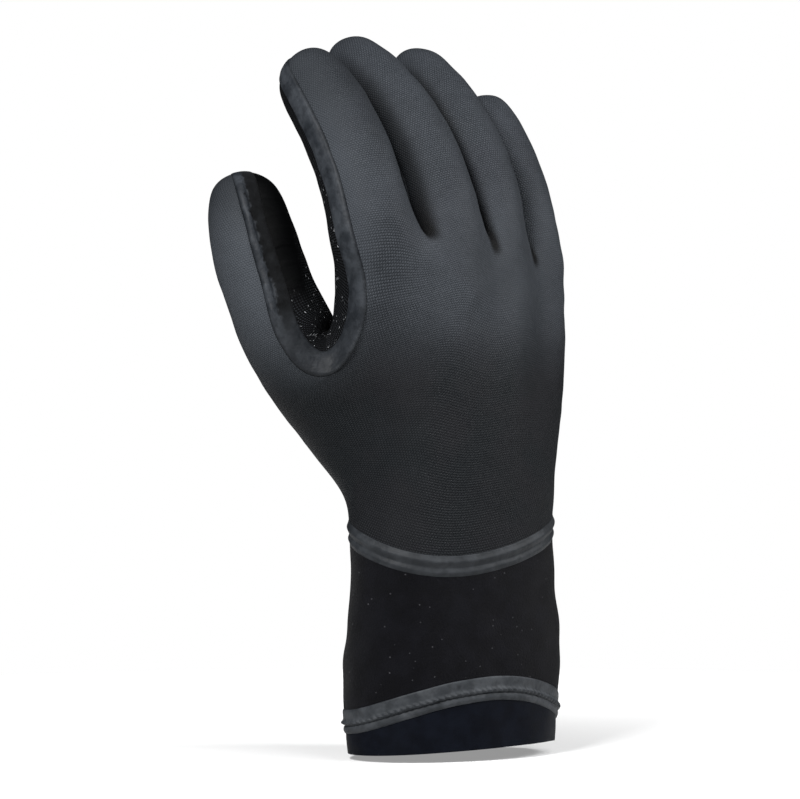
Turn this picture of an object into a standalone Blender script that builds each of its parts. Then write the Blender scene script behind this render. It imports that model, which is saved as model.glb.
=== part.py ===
"""A right-hand five-finger diving glove in its worn form, open at the cuff.

Metres, +Z up. The origin is the centre of the wrist opening, the back of the hand faces -Y,
the palm faces +Y and the thumb is on the -X side.
One smooth skin runs from the rim of the hem to the fingertips. It is subdivided from a coarse
cage, given the wall's thickness and cut along its seams into the panels of the pattern.
Rubber bands lie over the seams.
"""

import math

import bmesh
import bpy
import numpy as np
from mathutils import Vector
from mathutils.bvhtree import BVHTree
from mathutils.interpolate import poly_3d_calc

MM = 0.001

# Walls and clearances
WALL = 3.0 * MM
CLEARANCE = 0.4 * MM  # between two panels that meet
BAND_LIFT = 0.6 * MM  # from a panel to the band over it

# Sleeve, from the rim to the wrist seam
OPENING_WIDTH = 84.0 * MM
OPENING_DEPTH = 56.0 * MM
WRIST_WIDTH = 82.0 * MM
WRIST_DEPTH = 56.0 * MM
CUFF_HEIGHT = 66.0 * MM  # from the opening to the wrist seam's lowest point
WRIST_SEAM_RISE = 18.0 * MM
HEM_HEIGHT = 9.0 * MM  # to the hem seam's lowest point
HEM_SEAM_RISE = 15.0 * MM
RIM_RISE = 3.0 * MM

# Hand
PALM_LENGTH = 118.0 * MM  # from the wrist seam's lowest point to the finger webs
PALM_ARCH = 9.0 * MM  # how far the knuckles arch towards the back
KNUCKLE_TURN = math.radians(12.0)  # the row of knuckles against the wrist
KNUCKLE_SHIFT = 7.8 * MM  # its middle, towards the little finger
KNUCKLE_DROP = 6.0 * MM  # and towards the palm
FINGER_WIDTH = 26.5 * MM  # across the middle finger
FINGER_DEPTH = 28.5 * MM  # from the back of the middle finger to its pad
MIDDLE_LENGTH = 90.0 * MM  # from the web to the fingertip
FINGER_SPACE = 3.2 * MM
WEB_SINK = 9.0 * MM  # the valleys beside a web lie this much lower
THUMB_LENGTH = 92.0 * MM  # from inside the ball of the thumb
THUMB_WIDTH = 31.0 * MM
THUMB_REACH = 61.0 * MM  # how far the ball of the thumb stands out sideways
THUMB_DEPTH = 38.0 * MM  # and towards the palm

# Bands
EDGE_BAND_WIDTH = 7.0 * MM
EDGE_BAND_HEIGHT = 0.7 * MM
BAND_END_GAP = 2.4 * MM  # between its slanting ends and the wrist band
WRIST_BAND_WIDTH = 7.4 * MM
WRIST_BAND_HEIGHT = 1.3 * MM
HEM_BAND_WIDTH = 8.6 * MM
HEM_BAND_HEIGHT = 1.3 * MM

# In a valley a band is lifted by up to one over this, so that its edges clear both walls.
NARROWEST_VALLEY = 0.3

# The sleeve's waves: how far from the middle of the wave it reaches its other level, and
# where its middle is, in degrees from the little finger's side over the back of the hand.
WRIST_SEAM_WAVE = {"middle": 118.0, "reach": 110.0}
HEM_SEAM_WAVE = {"middle": 92.0, "reach": 98.0}
RIM_WAVE = {"middle": 60.0, "reach": 130.0}

# Cage columns run round the arm: 0 is the seam on the little finger's side, 10 the thumb's seam.
COLUMNS = 20
THUMB_SEAM = 10
SEAM_SIDE_LITTLE = -5.0  # degrees, where the seams meet the wrist
SEAM_SIDE_THUMB = 245.0

# Sleeve rows from the rim up. Share runs from the rim to the hem seam and on to the wrist seam.
SLEEVE_COLUMNS = ("panel", "share", "girth")
SLEEVE_ROWS = [
    ("cuff_hem", 0.0, 0.985),
    ("cuff_hem", 0.62, 1.0),
    ("cuff", 0.0, 0.995),
    ("cuff", 0.24, 1.075),
    ("cuff", 0.62, 1.01),
    ("cuff", 1.0, 1.0),
]

# Palm rows from the wrist seam up: height, and how far the section has gone from the wrist's to
# the knuckles'. The last row is the webs'.
PALM_COLUMNS = ("height", "blend")
PALM_ROWS = [
    (0.0, 0.0),
    (0.16, 0.05),
    (0.31, 0.18),
    (0.47, 0.36),
    (0.62, 0.60),
    (0.77, 0.86),
    (0.90, 0.96),
    (1.0, 1.0),
]
WEB_ROW = len(PALM_ROWS) - 1

# Cage corners where the thumb leaves the palm, in the thumb ring's order, then two rows of the
# web above them, on the seam and beside it. Shares: out of THUMB_REACH, palm of THUMB_DEPTH,
# height of PALM_LENGTH.
THUMB_BASE_COLUMNS = ("row", "column", "out", "palm", "height")
THUMB_BASE = [
    (4, 10, 0.82, 0.10, 0.540),
    (4, 9, 0.94, 0.16, 0.500),
    (3, 9, 1.02, 0.50, 0.445),
    (2, 9, 0.76, 0.74, 0.325),
    (2, 10, 0.46, 0.90, 0.320),
    (2, 11, 0.18, 0.98, 0.420),
    (3, 11, 0.24, 0.88, 0.560),
    (4, 11, 0.74, 0.42, 0.770),
    (5, 10, 0.70, -0.21, 0.680),
    (6, 10, 0.74, -0.26, 0.850),
    (5, 11, 0.74, 0.44, 0.840),
    (6, 11, 0.78, 0.28, 0.930),
]

# A finger's cage ring has eight corners. The smoothed ring lies inside it, by this factor.
RING = 8
RING_SWELL = 3 / (2 + math.cos(2 * math.pi / RING))

# Fingers, little finger first. Length, width and depth are shares of the middle finger's, or for
# the thumb of its own length and width. Arch and drop are shares of PALM_ARCH and PALM_LENGTH.
# Splay, lean and roll are degrees at the root, the ones after them at the tip.
FINGER_COLUMNS = (
    "name", "length", "width", "depth", "arch", "drop",
    "splay", "splay_tip", "lean", "lean_tip", "roll", "roll_tip",
)
FINGERS = [
    ("little", 0.76, 0.90, 0.92, -0.30, 0.05, 1.0, 2.0, 8.0, 42.0, 2.0, 10.0),
    ("ring", 0.96, 0.98, 0.98, 0.65, 0.00, 1.0, 3.0, 12.0, 58.0, 2.0, 14.0),
    ("middle", 1.03, 1.00, 1.00, 1.00, -0.01, 0.0, 3.0, 15.0, 64.0, 2.0, 14.0),
    ("index", 0.90, 1.05, 1.06, 0.10, 0.01, -2.0, -3.0, 12.0, 54.0, 0.0, 4.0),
]
THUMB = ("thumb", 1.0, 1.0, 1.0, 0.0, 0.0, 31.0, 1.0, 12.0, 14.0, 160.0, 116.0)
THUMB_ROOT = (0.66, 0.52, 0.50)  # out, palm and height of its axis, as in THUMB_BASE

# Where the rings of a finger lie along it, and their width and depth, as shares.
RING_COLUMNS = ("along", "width", "depth")
FINGER_RINGS = [
    (0.00, 1.06, 1.02),
    (0.18, 1.00, 1.00),
    (0.38, 1.00, 1.00),
    (0.58, 0.98, 0.98),
    (0.77, 0.93, 0.93),
    (0.92, 0.76, 0.78),
]
THUMB_RINGS = [
    (0.30, 1.14, 1.16),
    (0.48, 1.05, 1.06),
    (0.66, 1.02, 1.02),
    (0.82, 0.94, 0.92),
    (0.94, 0.74, 0.70),
]

PANELS = ("back_panel", "palm_panel", "cuff", "cuff_hem")

COLOURS = {
    "back_panel": ((0.045, 0.050, 0.056), 0.62),
    "palm_panel": ((0.011, 0.012, 0.014), 0.75),
    "edge_seam": ((0.050, 0.055, 0.062), 0.45),
    "wrist_seam": ((0.042, 0.046, 0.050), 0.45),
    "cuff": ((0.008, 0.008, 0.011), 0.95),
    "cuff_seam": ((0.030, 0.032, 0.036), 0.50),
    "cuff_hem": ((0.009, 0.011, 0.016), 0.55),
}


def rows_of(columns, table):
    return [dict(zip(columns, row)) for row in table]


def clear_scene():
    for obj in list(bpy.data.objects):
        bpy.data.objects.remove(obj)


def smooth_step(share):
    share = min(max(share, 0.0), 1.0)
    return share * share * (3 - 2 * share)


def wave(side, middle, reach):
    """0 at the wave's middle and 1 beyond its reach, for a direction round the arm in degrees."""
    away = abs((side - middle + 180.0) % 360.0 - 180.0)
    return smooth_step(away / reach)


def oval(side, width, depth):
    angle = math.radians(side)
    return np.array([width / 2 * math.cos(angle), -depth / 2 * math.sin(angle), 0.0])


def wrist_side(column):
    """Where a column meets the wrist seam. The seams divide it into a wide back and a narrow palm."""
    if column <= THUMB_SEAM:
        return SEAM_SIDE_LITTLE + (SEAM_SIDE_THUMB - SEAM_SIDE_LITTLE) * column / THUMB_SEAM
    rest = 360.0 + SEAM_SIDE_LITTLE - SEAM_SIDE_THUMB
    return SEAM_SIDE_THUMB + rest * (column - THUMB_SEAM) / (COLUMNS - THUMB_SEAM)


def sleeve_levels(side):
    """Heights of the rim, the hem seam and the wrist seam in that direction."""
    rim = RIM_RISE * (1 - wave(side, **RIM_WAVE))
    hem = HEM_HEIGHT + HEM_SEAM_RISE * (1 - wave(side, **HEM_SEAM_WAVE))
    wrist = CUFF_HEIGHT + WRIST_SEAM_RISE * wave(side, **WRIST_SEAM_WAVE)
    return rim, hem, wrist


def sleeve_grid():
    """Cage corners of the sleeve, shaped (row, column, xyz). The last row is the wrist seam."""
    grid = []
    swell = 3 / (2 + math.cos(2 * math.pi / COLUMNS))
    for row in rows_of(SLEEVE_COLUMNS, SLEEVE_ROWS):
        corners = []
        for column in range(COLUMNS):
            even = 360.0 / COLUMNS * column + SEAM_SIDE_LITTLE
            up = row["share"] if row["panel"] == "cuff" else 0.0
            side = even + (wrist_side(column) - even) * up
            rim, hem, wrist = sleeve_levels(side)
            low, high = (rim, hem) if row["panel"] == "cuff_hem" else (hem, wrist)
            height = low + (high - low) * row["share"]
            width = (OPENING_WIDTH + (WRIST_WIDTH - OPENING_WIDTH) * up) * row["girth"] * swell
            depth = (OPENING_DEPTH + (WRIST_DEPTH - OPENING_DEPTH) * up) * row["girth"] * swell
            corners.append(oval(side, width, depth) + np.array([0.0, 0.0, height]))
        grid.append(corners)
    return np.array(grid)


def knuckle_frame():
    """Unit vectors along the row of knuckles towards the little finger, and towards the palm."""
    across = np.array([math.cos(KNUCKLE_TURN), math.sin(KNUCKLE_TURN), 0.0])
    palm = np.array([-math.sin(KNUCKLE_TURN), math.cos(KNUCKLE_TURN), 0.0])
    return across, palm


def finger_roots():
    """The middles of the fingers at the webs, side by side along the arch of the knuckles."""
    fingers = rows_of(FINGER_COLUMNS, FINGERS)
    across, palm = knuckle_frame()
    places = [0.0]
    for left, right in zip(fingers, fingers[1:]):
        places.append(places[-1] - (left["width"] + right["width"]) * FINGER_WIDTH / 2 - FINGER_SPACE)
    places = np.array(places) - np.mean([places[0], places[-1]]) + KNUCKLE_SHIFT
    roots = []
    for finger, place in zip(fingers, places):
        root = across * place + palm * (KNUCKLE_DROP - PALM_ARCH * finger["arch"])
        root[2] = CUFF_HEIGHT + PALM_LENGTH * (1 - finger["drop"])
        roots.append(root)
    return roots


def finger_rings(finger, root, length, width, depth, across, palm, rings):
    """Cage rings of a finger, shaped (ring, corner, xyz), and the corner at its tip.

    The axis starts at the root and turns evenly from the angles at the root to those at the tip.
    Corner 0 is on the seam towards the little finger, and the corners run over the back.
    """
    steps = 80
    centre, stations = root.copy(), []
    wanted = rows_of(RING_COLUMNS, rings)
    for step in range(steps + 1):
        share = step / steps
        splay = math.radians(finger["splay"] + (finger["splay_tip"] - finger["splay"]) * smooth_step(share))
        lean = math.radians(finger["lean"] + (finger["lean_tip"] - finger["lean"]) * share)
        up = np.array([0.0, 0.0, 1.0])
        ahead = math.cos(lean) * (math.cos(splay) * up - math.sin(splay) * across) + math.sin(lean) * palm
        side = across - ahead * np.dot(across, ahead)
        side /= np.linalg.norm(side)
        back = np.cross(side, ahead)
        roll = finger["roll"] + (finger["roll_tip"] - finger["roll"]) * smooth_step(share * 2)
        if len(stations) < len(wanted) and share >= wanted[len(stations)]["along"] - 0.5 / steps:
            ring = wanted[len(stations)]
            corners = []
            for corner in range(RING):
                angle = math.radians(360 / RING * corner + roll)
                sideways = math.cos(angle) * ring["width"] * width / 2 * RING_SWELL
                upwards = math.sin(angle) * ring["depth"] * depth / 2 * RING_SWELL
                corners.append(centre + side * sideways + back * upwards)
            stations.append(corners)
        centre = centre + ahead * length / steps
    return np.array(stations), centre


class Cage:
    """Corners and quads, each quad with the number of its panel."""

    def __init__(self):
        self.corners = []
        self.quads = []
        self.labels = []

    def corner(self, place):
        self.corners.append(tuple(place))
        return len(self.corners) - 1

    def quad(self, corners, panel):
        self.quads.append(corners)
        self.labels.append(PANELS.index(panel))

    def tube(self, base, rings, tip):
        """Rings of quads from a base ring, closed by four quads round the tip. Backs come first."""
        loops = [base] + [[self.corner(place) for place in ring] for ring in rings]
        for lower, upper in zip(loops, loops[1:]):
            for corner in range(RING):
                following = (corner + 1) % RING
                panel = "back_panel" if corner < RING // 2 else "palm_panel"
                self.quad((lower[corner], upper[corner], upper[following], lower[following]), panel)
        last, middle = loops[-1], self.corner(tip)
        for corner in range(0, RING, 2):
            panel = "back_panel" if corner < RING // 2 else "palm_panel"
            self.quad((last[corner], middle, last[(corner + 2) % RING], last[corner + 1]), panel)


def turned_section(low, high, blend):
    """A ring between two rings. Distances and directions from the rings' middles are blended."""
    polar = []
    for ring in (low, high):
        middle = ring[:, :2].mean(axis=0)
        away = ring[:, :2] - middle
        polar.append((middle, np.unwrap(np.arctan2(-away[:, 1], away[:, 0])), np.hypot(*away.T)))
    middle, side, reach = [a + (b - a) * blend for a, b in zip(*polar)]
    return middle + np.stack([reach * np.cos(side), -reach * np.sin(side)], axis=1)


def hand_grid(wrist, fingers):
    """Cage corners of the palm, shaped (row, column, xyz), and the middles of the webs.

    Each row is the wrist seam's ring gone part of the way to the ring of the finger roots. The
    corners round the thumb are set by THUMB_BASE, and those near them are relaxed between them.
    """
    top = np.zeros((COLUMNS, 3))
    webs = []
    for number, rings in enumerate(fingers):
        ring = rings[0]
        for corner in (1, 2, 3):
            top[2 * number + corner] += ring[corner]
            top[COLUMNS - 2 * number - corner] += ring[RING - corner]
    for number in range(len(fingers) - 1):
        webs.append((fingers[number][0][4] + fingers[number + 1][0][0]) / 2)
        for column in (2 * number + 3, COLUMNS - 2 * number - 3):
            top[column] /= 2
            top[column][2] -= WEB_SINK
    top[0] = fingers[0][0][0]
    top[THUMB_SEAM] = fingers[-1][0][4]
    rows = rows_of(PALM_COLUMNS, PALM_ROWS)
    grid = np.zeros((len(rows), COLUMNS, 3))
    for number, row in enumerate(rows):
        grid[number, :, :2] = turned_section(wrist, top, row["blend"])
        grid[number, :, 2] = wrist[:, 2] + (top[:, 2] - wrist[:, 2]) * row["height"]
    fixed = {(0, column) for column in range(COLUMNS)} | {(WEB_ROW, column) for column in range(COLUMNS)}
    for base in rows_of(THUMB_BASE_COLUMNS, THUMB_BASE):
        grid[base["row"], base["column"]] = thumb_place(base["out"], base["palm"], base["height"])
        fixed.add((base["row"], base["column"]))
    near = [
        (row, column)
        for row in range(1, WEB_ROW)
        for column in range(THUMB_SEAM - 3, THUMB_SEAM + 5)
        if (row, column) not in fixed
    ]
    for _ in range(12):
        for row, column in near:
            around = grid[row - 1, column] + grid[row + 1, column] + grid[row, column - 1] + grid[row, column + 1]
            grid[row, column] = around / 4
    return grid, webs


def thumb_place(out, palm, height):
    return np.array([-out * THUMB_REACH, palm * THUMB_DEPTH, CUFF_HEIGHT + height * PALM_LENGTH])


def build_cage():
    cage = Cage()
    sleeve = sleeve_grid()
    across, palm = knuckle_frame()
    fingers, tips = [], []
    for row, root in zip(rows_of(FINGER_COLUMNS, FINGERS), finger_roots()):
        rings, tip = finger_rings(
            row, root, row["length"] * MIDDLE_LENGTH, row["width"] * FINGER_WIDTH, row["depth"] * FINGER_DEPTH,
            across, palm, FINGER_RINGS,
        )
        fingers.append(rings)
        tips.append(tip)
    grid, webs = hand_grid(sleeve[-1], fingers)

    wrist_row = len(sleeve) - 1
    inside_thumb = (wrist_row + 3, THUMB_SEAM)
    rows = []
    for number, places in enumerate(np.concatenate([sleeve, grid[1:]])):
        left_out = [inside_thumb == (number, column) for column in range(COLUMNS)]
        rows.append([None if out else cage.corner(place) for place, out in zip(places, left_out)])
    thumb_rows = {wrist_row + 2, wrist_row + 3}
    thumb_columns = {THUMB_SEAM - 1, THUMB_SEAM}
    for number, (lower, upper) in enumerate(zip(rows, rows[1:])):
        for column in range(COLUMNS):
            if number in thumb_rows and column in thumb_columns:
                continue
            following = (column + 1) % COLUMNS
            if number < wrist_row:
                panel = SLEEVE_ROWS[number][0]
            else:
                panel = "back_panel" if column < THUMB_SEAM else "palm_panel"
            cage.quad((lower[column], upper[column], upper[following], lower[following]), panel)

    top = rows[-1]
    middles = [top[0]] + [cage.corner(web) for web in webs] + [top[THUMB_SEAM]]
    for number, (rings, tip) in enumerate(zip(fingers, tips)):
        backs = [top[2 * number + corner] for corner in (1, 2, 3)]
        fronts = [top[COLUMNS - 2 * number - corner] for corner in (3, 2, 1)]
        cage.tube([middles[number]] + backs + [middles[number + 1]] + fronts, rings[1:], tip)

    thumb = dict(zip(FINGER_COLUMNS, THUMB))
    rings, tip = finger_rings(
        thumb, thumb_place(*THUMB_ROOT), THUMB_LENGTH, THUMB_WIDTH, THUMB_WIDTH,
        np.array([1.0, 0.0, 0.0]), np.array([0.0, 1.0, 0.0]), THUMB_RINGS,
    )
    bases = rows_of(THUMB_BASE_COLUMNS, THUMB_BASE)[:RING]
    cage.tube([rows[wrist_row + base["row"]][base["column"]] for base in bases], rings, tip)
    return cage


def material_of(name):
    colour, roughness = COLOURS[name]
    material = bpy.data.materials.new(name)
    material.use_nodes = True
    shader = material.node_tree.nodes["Principled BSDF"]
    shader.inputs["Base Color"].default_value = (*colour, 1.0)
    shader.inputs["Roughness"].default_value = roughness
    shader.inputs["Metallic"].default_value = 0.0
    return material


def evaluated_mesh(obj):
    return bpy.data.meshes.new_from_object(obj.evaluated_get(bpy.context.evaluated_depsgraph_get()))


def smooth_skin(cage):
    """The outer surface in triangles. A face's material number is its panel's number."""
    mesh = bpy.data.meshes.new("cage")
    mesh.from_pydata(cage.corners, [], cage.quads)
    for name in PANELS:
        mesh.materials.append(bpy.data.materials.new("label_" + name))
    mesh.polygons.foreach_set("material_index", cage.labels)
    obj = bpy.data.objects.new("cage", mesh)
    bpy.context.scene.collection.objects.link(obj)
    subdivision = obj.modifiers.new("smooth", "SUBSURF")
    subdivision.levels = subdivision.render_levels = 1
    obj.modifiers.new("triangles", "TRIANGULATE")
    skin = evaluated_mesh(obj)
    bpy.data.objects.remove(obj)
    return skin


def solid_shell(skin):
    """The skin with the wall added inside it. Vertex i + n is the inner one of vertex i of n."""
    obj = bpy.data.objects.new("shell", skin)
    bpy.context.scene.collection.objects.link(obj)
    wall = obj.modifiers.new("wall", "SOLIDIFY")
    wall.thickness = WALL
    wall.offset = -1.0
    shell = evaluated_mesh(obj)
    bpy.data.objects.remove(obj)
    return shell


def draw_back(border, twin):
    """Moves the border's vertices off the seam, along the surface, by half the clearance."""
    moves = {}
    for vertex in border:
        tangent = Vector()
        for edge in vertex.link_edges:
            if edge.is_boundary:
                other = edge.other_vert(vertex).co - vertex.co
                tangent = other if tangent.length == 0 else tangent - other
        inwards = Vector()
        for face in vertex.link_faces:
            inwards += face.calc_center_median() - vertex.co
        if tangent.length > 0:
            tangent.normalize()
            inwards -= tangent * inwards.dot(tangent)
        moves[vertex] = inwards.normalized() * CLEARANCE / 2
    for vertex, move in moves.items():
        vertex.co += move
        twin[vertex].co += move


def cut_panel(name, shell, count):
    """One panel of the shell, with its own edge faces along the seams."""
    label = PANELS.index(name)
    bm = bmesh.new()
    bm.from_mesh(shell)
    bm.verts.ensure_lookup_table()
    twin = {bm.verts[number]: bm.verts[number + count] for number in range(count)}
    bmesh.ops.delete(bm, geom=[face for face in bm.faces if face.material_index != label], context="FACES")
    twin = {outer: inner for outer, inner in twin.items() if outer.is_valid}
    edges = [edge for edge in bm.edges if edge.is_boundary and edge.verts[0] in twin and edge.verts[1] in twin]
    border = {vertex for edge in edges for vertex in edge.verts}
    draw_back(border, twin)
    for edge in edges:
        first, second = edge.verts
        bm.faces.new((first, second, twin[second], twin[first]))
    bmesh.ops.recalc_face_normals(bm, faces=bm.faces)
    for face in bm.faces:
        face.material_index = 0
        face.smooth = True
    mesh = bpy.data.meshes.new(name)
    bm.to_mesh(mesh)
    bm.free()
    mesh.set_sharp_from_angle(angle=math.radians(50.0))
    return mesh


def seam_chain(skin, sides):
    """The line of vertices between two groups of panels, as places in order, and whether it closes."""
    bm = bmesh.new()
    bm.from_mesh(skin)
    groups = [{PANELS.index(name) for name in side} for side in sides]
    following = {}
    for edge in bm.edges:
        labels = [face.material_index for face in edge.link_faces]
        if len(labels) == 2 and any(
            labels[0] in groups[a] and labels[1] in groups[1 - a] for a in (0, 1)
        ):
            for vertex in edge.verts:
                following.setdefault(vertex, []).append(edge.other_vert(vertex))
    ends = [vertex for vertex, others in following.items() if len(others) == 1]
    start = min(ends or following, key=lambda vertex: tuple(vertex.co))
    chain, before = [start], None
    while True:
        onwards = [vertex for vertex in following[chain[-1]] if vertex is not before and vertex is not start]
        if not onwards or (len(chain) > 1 and len(onwards) > 1):
            break
        before = chain[-1]
        chain.append(onwards[0])
    places = [vertex.co.copy() for vertex in chain]
    bm.free()
    return places, not ends


def trimmed(places, length):
    """The chain without that much of its length at both ends."""
    for _ in range(2):
        left = length
        while (places[1] - places[0]).length < left:
            left -= (places[1] - places[0]).length
            places = places[1:]
        places = [places[0].lerp(places[1], left / (places[1] - places[0]).length)] + places[1:]
        places.reverse()
    return places


def foot_on(surface, tree, place):
    """The nearest point of the skin and the way out of it, long enough to clear the face by 1."""
    foot, flat, number, _ = tree.find_nearest(place)
    corners = surface.faces[number].verts
    shares = poly_3d_calc([corner.co for corner in corners], foot)
    smooth = sum((corner.normal * share for corner, share in zip(corners, shares)), Vector()).normalized()
    return foot, smooth / max(smooth.dot(flat), NARROWEST_VALLEY)


def band(name, skin, places, closed, width, height, profile):
    """A rubber band along a chain of places on the skin.

    Its section is the profile, rows of (across, height) as shares of the half width and height.
    Every point of it stands over the nearest point of the skin, so the band follows the surface.
    """
    surface = bmesh.new()
    surface.from_mesh(skin)
    surface.faces.ensure_lookup_table()
    tree = BVHTree.FromBMesh(surface)
    count = len(places)
    bm = bmesh.new()
    loops = []
    for number, place in enumerate(places):
        before = places[(number - 1) % count] if closed or number > 0 else place
        after = places[(number + 1) % count] if closed or number < count - 1 else place
        _, outwards = foot_on(surface, tree, place)
        across = (after - before).cross(outwards).normalized()
        under, over = [], []
        for share, rise in profile:
            foot, outwards = foot_on(surface, tree, place + across * (share * width / 2))
            under.append(bm.verts.new(foot + outwards * BAND_LIFT))
            over.append(bm.verts.new(foot + outwards * (BAND_LIFT + rise * height)))
        loops.append(under + over[::-1])
    surface.free()
    pairs = list(zip(loops, loops[1:])) + ([(loops[-1], loops[0])] if closed else [])
    for lower, upper in pairs:
        for corner in range(len(lower)):
            following = (corner + 1) % len(lower)
            bm.faces.new((lower[corner], lower[following], upper[following], upper[corner]))
    if not closed:
        bm.faces.new(loops[0])
        bm.faces.new(loops[-1][::-1])
    bmesh.ops.recalc_face_normals(bm, faces=bm.faces)
    for face in bm.faces:
        face.smooth = True
    mesh = bpy.data.meshes.new(name)
    bm.to_mesh(mesh)
    bm.free()
    mesh.set_sharp_from_angle(angle=math.radians(50.0))
    return mesh


# Band sections, as shares of the half width and of the height.
LENS = [(-1.0, 0.5), (0.0, 1.0), (1.0, 0.5)]
TWO_RIDGES = [(-1.0, 0.5), (-0.55, 1.0), (0.0, 0.6), (0.55, 1.0), (1.0, 0.5)]
RIDGE_AND_LIP = [(-1.0, 0.45), (-0.35, 0.7), (0.1, 1.0), (0.4, 0.4), (0.7, 0.7), (1.0, 0.4)]


def add_part(name, mesh, collection):
    mesh.materials.clear()
    mesh.materials.append(material_of(name))
    collection.objects.link(bpy.data.objects.new(name, mesh))


def main():
    clear_scene()
    collection = bpy.data.collections.new("diving_glove")
    bpy.context.scene.collection.children.link(collection)
    skin = smooth_skin(build_cage())
    shell = solid_shell(skin)
    for name in PANELS:
        add_part(name, cut_panel(name, shell, len(skin.vertices)), collection)

    edge, closed = seam_chain(skin, [("back_panel",), ("palm_panel",)])
    edge = trimmed(edge, WRIST_BAND_WIDTH / 2 + BAND_END_GAP)
    mesh = band("edge_seam", skin, edge, closed, EDGE_BAND_WIDTH, EDGE_BAND_HEIGHT, LENS)
    add_part("edge_seam", mesh, collection)
    wrist, closed = seam_chain(skin, [("back_panel", "palm_panel"), ("cuff",)])
    mesh = band("wrist_seam", skin, wrist, closed, WRIST_BAND_WIDTH, WRIST_BAND_HEIGHT, TWO_RIDGES)
    add_part("wrist_seam", mesh, collection)
    hem, closed = seam_chain(skin, [("cuff",), ("cuff_hem",)])
    mesh = band("cuff_seam", skin, hem, closed, HEM_BAND_WIDTH, HEM_BAND_HEIGHT, RIDGE_AND_LIP)
    add_part("cuff_seam", mesh, collection)


if __name__ == "__main__":
    main()
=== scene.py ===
"""Looks of a right-hand neoprene diving glove: skins, seam rubber, stitches, plush, light and camera."""

import math

import bpy
import numpy as np
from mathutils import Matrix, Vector


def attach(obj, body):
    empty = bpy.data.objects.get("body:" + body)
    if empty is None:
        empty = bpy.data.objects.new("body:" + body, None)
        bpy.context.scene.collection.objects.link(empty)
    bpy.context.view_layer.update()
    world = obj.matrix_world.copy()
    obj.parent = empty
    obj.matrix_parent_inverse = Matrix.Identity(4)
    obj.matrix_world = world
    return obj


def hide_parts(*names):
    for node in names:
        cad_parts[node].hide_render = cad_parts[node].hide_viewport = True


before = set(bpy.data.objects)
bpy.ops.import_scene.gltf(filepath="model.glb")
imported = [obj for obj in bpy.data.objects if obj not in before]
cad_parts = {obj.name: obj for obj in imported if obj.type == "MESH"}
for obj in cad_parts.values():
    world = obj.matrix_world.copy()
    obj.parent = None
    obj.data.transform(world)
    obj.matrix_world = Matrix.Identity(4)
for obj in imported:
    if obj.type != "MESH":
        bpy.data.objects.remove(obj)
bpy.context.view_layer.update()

MM = 0.001

# Sleeve, from the rim to the wrist seam
OPENING = (84.0 * MM, 56.0 * MM)  # width and depth
WRIST = (82.0 * MM, 56.0 * MM)
CUFF_HEIGHT = 66.0 * MM
WRIST_SEAM_RISE = 18.0 * MM
HEM_HEIGHT = 9.0 * MM
HEM_SEAM_RISE = 15.0 * MM
RIM_RISE = 3.0 * MM

# Hand
PALM_LENGTH = 118.0 * MM
PALM_ARCH = 9.0 * MM
KNUCKLE_TURN = math.radians(12.0)
KNUCKLE_SHIFT = 7.8 * MM
KNUCKLE_DROP = 6.0 * MM
FINGER_WIDTH = 26.5 * MM
FINGER_DEPTH = 28.5 * MM
MIDDLE_LENGTH = 90.0 * MM
FINGER_SPACE = 3.2 * MM
WEB_SINK = 9.0 * MM
THUMB_LENGTH = 92.0 * MM
THUMB_WIDTH = 31.0 * MM
THUMB_REACH = 61.0 * MM
THUMB_DEPTH = 38.0 * MM
NEOPRENE = 2.6 * MM

# Waves of the sleeve's seams: degrees from the little finger's side over the back of the hand
WRIST_SEAM_WAVE = {"middle": 118.0, "reach": 110.0}
HEM_SEAM_WAVE = {"middle": 92.0, "reach": 98.0}
RIM_WAVE = {"middle": 60.0, "reach": 130.0}

COLUMNS = 20
THUMB_SEAM = 10
SEAM_SIDE_LITTLE = -5.0
SEAM_SIDE_THUMB = 245.0
PANELS = ("back_panel", "palm_panel", "cuff", "cuff_hem")
BACK, PALM, CUFF, HEM = range(len(PANELS))

# Sleeve rows from the rim up: panel, share of the way to its upper seam, girth
SLEEVE_ROWS = np.array([
    (HEM, 0.0, 0.985),
    (HEM, 0.62, 1.0),
    (CUFF, 0.0, 0.995),
    (CUFF, 0.24, 1.075),
    (CUFF, 0.62, 1.01),
    (CUFF, 1.0, 1.0),
])

# Palm rows from the wrist seam up: height, blend from the wrist's section to the knuckles'
PALM_ROWS = np.array([
    (0.0, 0.0),
    (0.16, 0.05),
    (0.31, 0.18),
    (0.47, 0.36),
    (0.62, 0.60),
    (0.77, 0.86),
    (0.90, 0.96),
    (1.0, 1.0),
])

# Corners round the thumb's root, in its ring's order, then two rows of the web above them:
# row, column, then shares of THUMB_REACH, THUMB_DEPTH and PALM_LENGTH
THUMB_BASE = np.array([
    (4, 10, 0.82, 0.10, 0.540),
    (4, 9, 0.94, 0.16, 0.500),
    (3, 9, 1.02, 0.50, 0.445),
    (2, 9, 0.76, 0.74, 0.325),
    (2, 10, 0.46, 0.90, 0.320),
    (2, 11, 0.18, 0.98, 0.420),
    (3, 11, 0.24, 0.88, 0.560),
    (4, 11, 0.74, 0.42, 0.770),
    (5, 10, 0.70, -0.21, 0.680),
    (6, 10, 0.74, -0.26, 0.850),
    (5, 11, 0.74, 0.44, 0.840),
    (6, 11, 0.78, 0.28, 0.930),
])
THUMB_ROOT = (0.66, 0.52, 0.50)

RING = 8
RING_SWELL = 3 / (2 + math.cos(2 * math.pi / RING))

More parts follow.
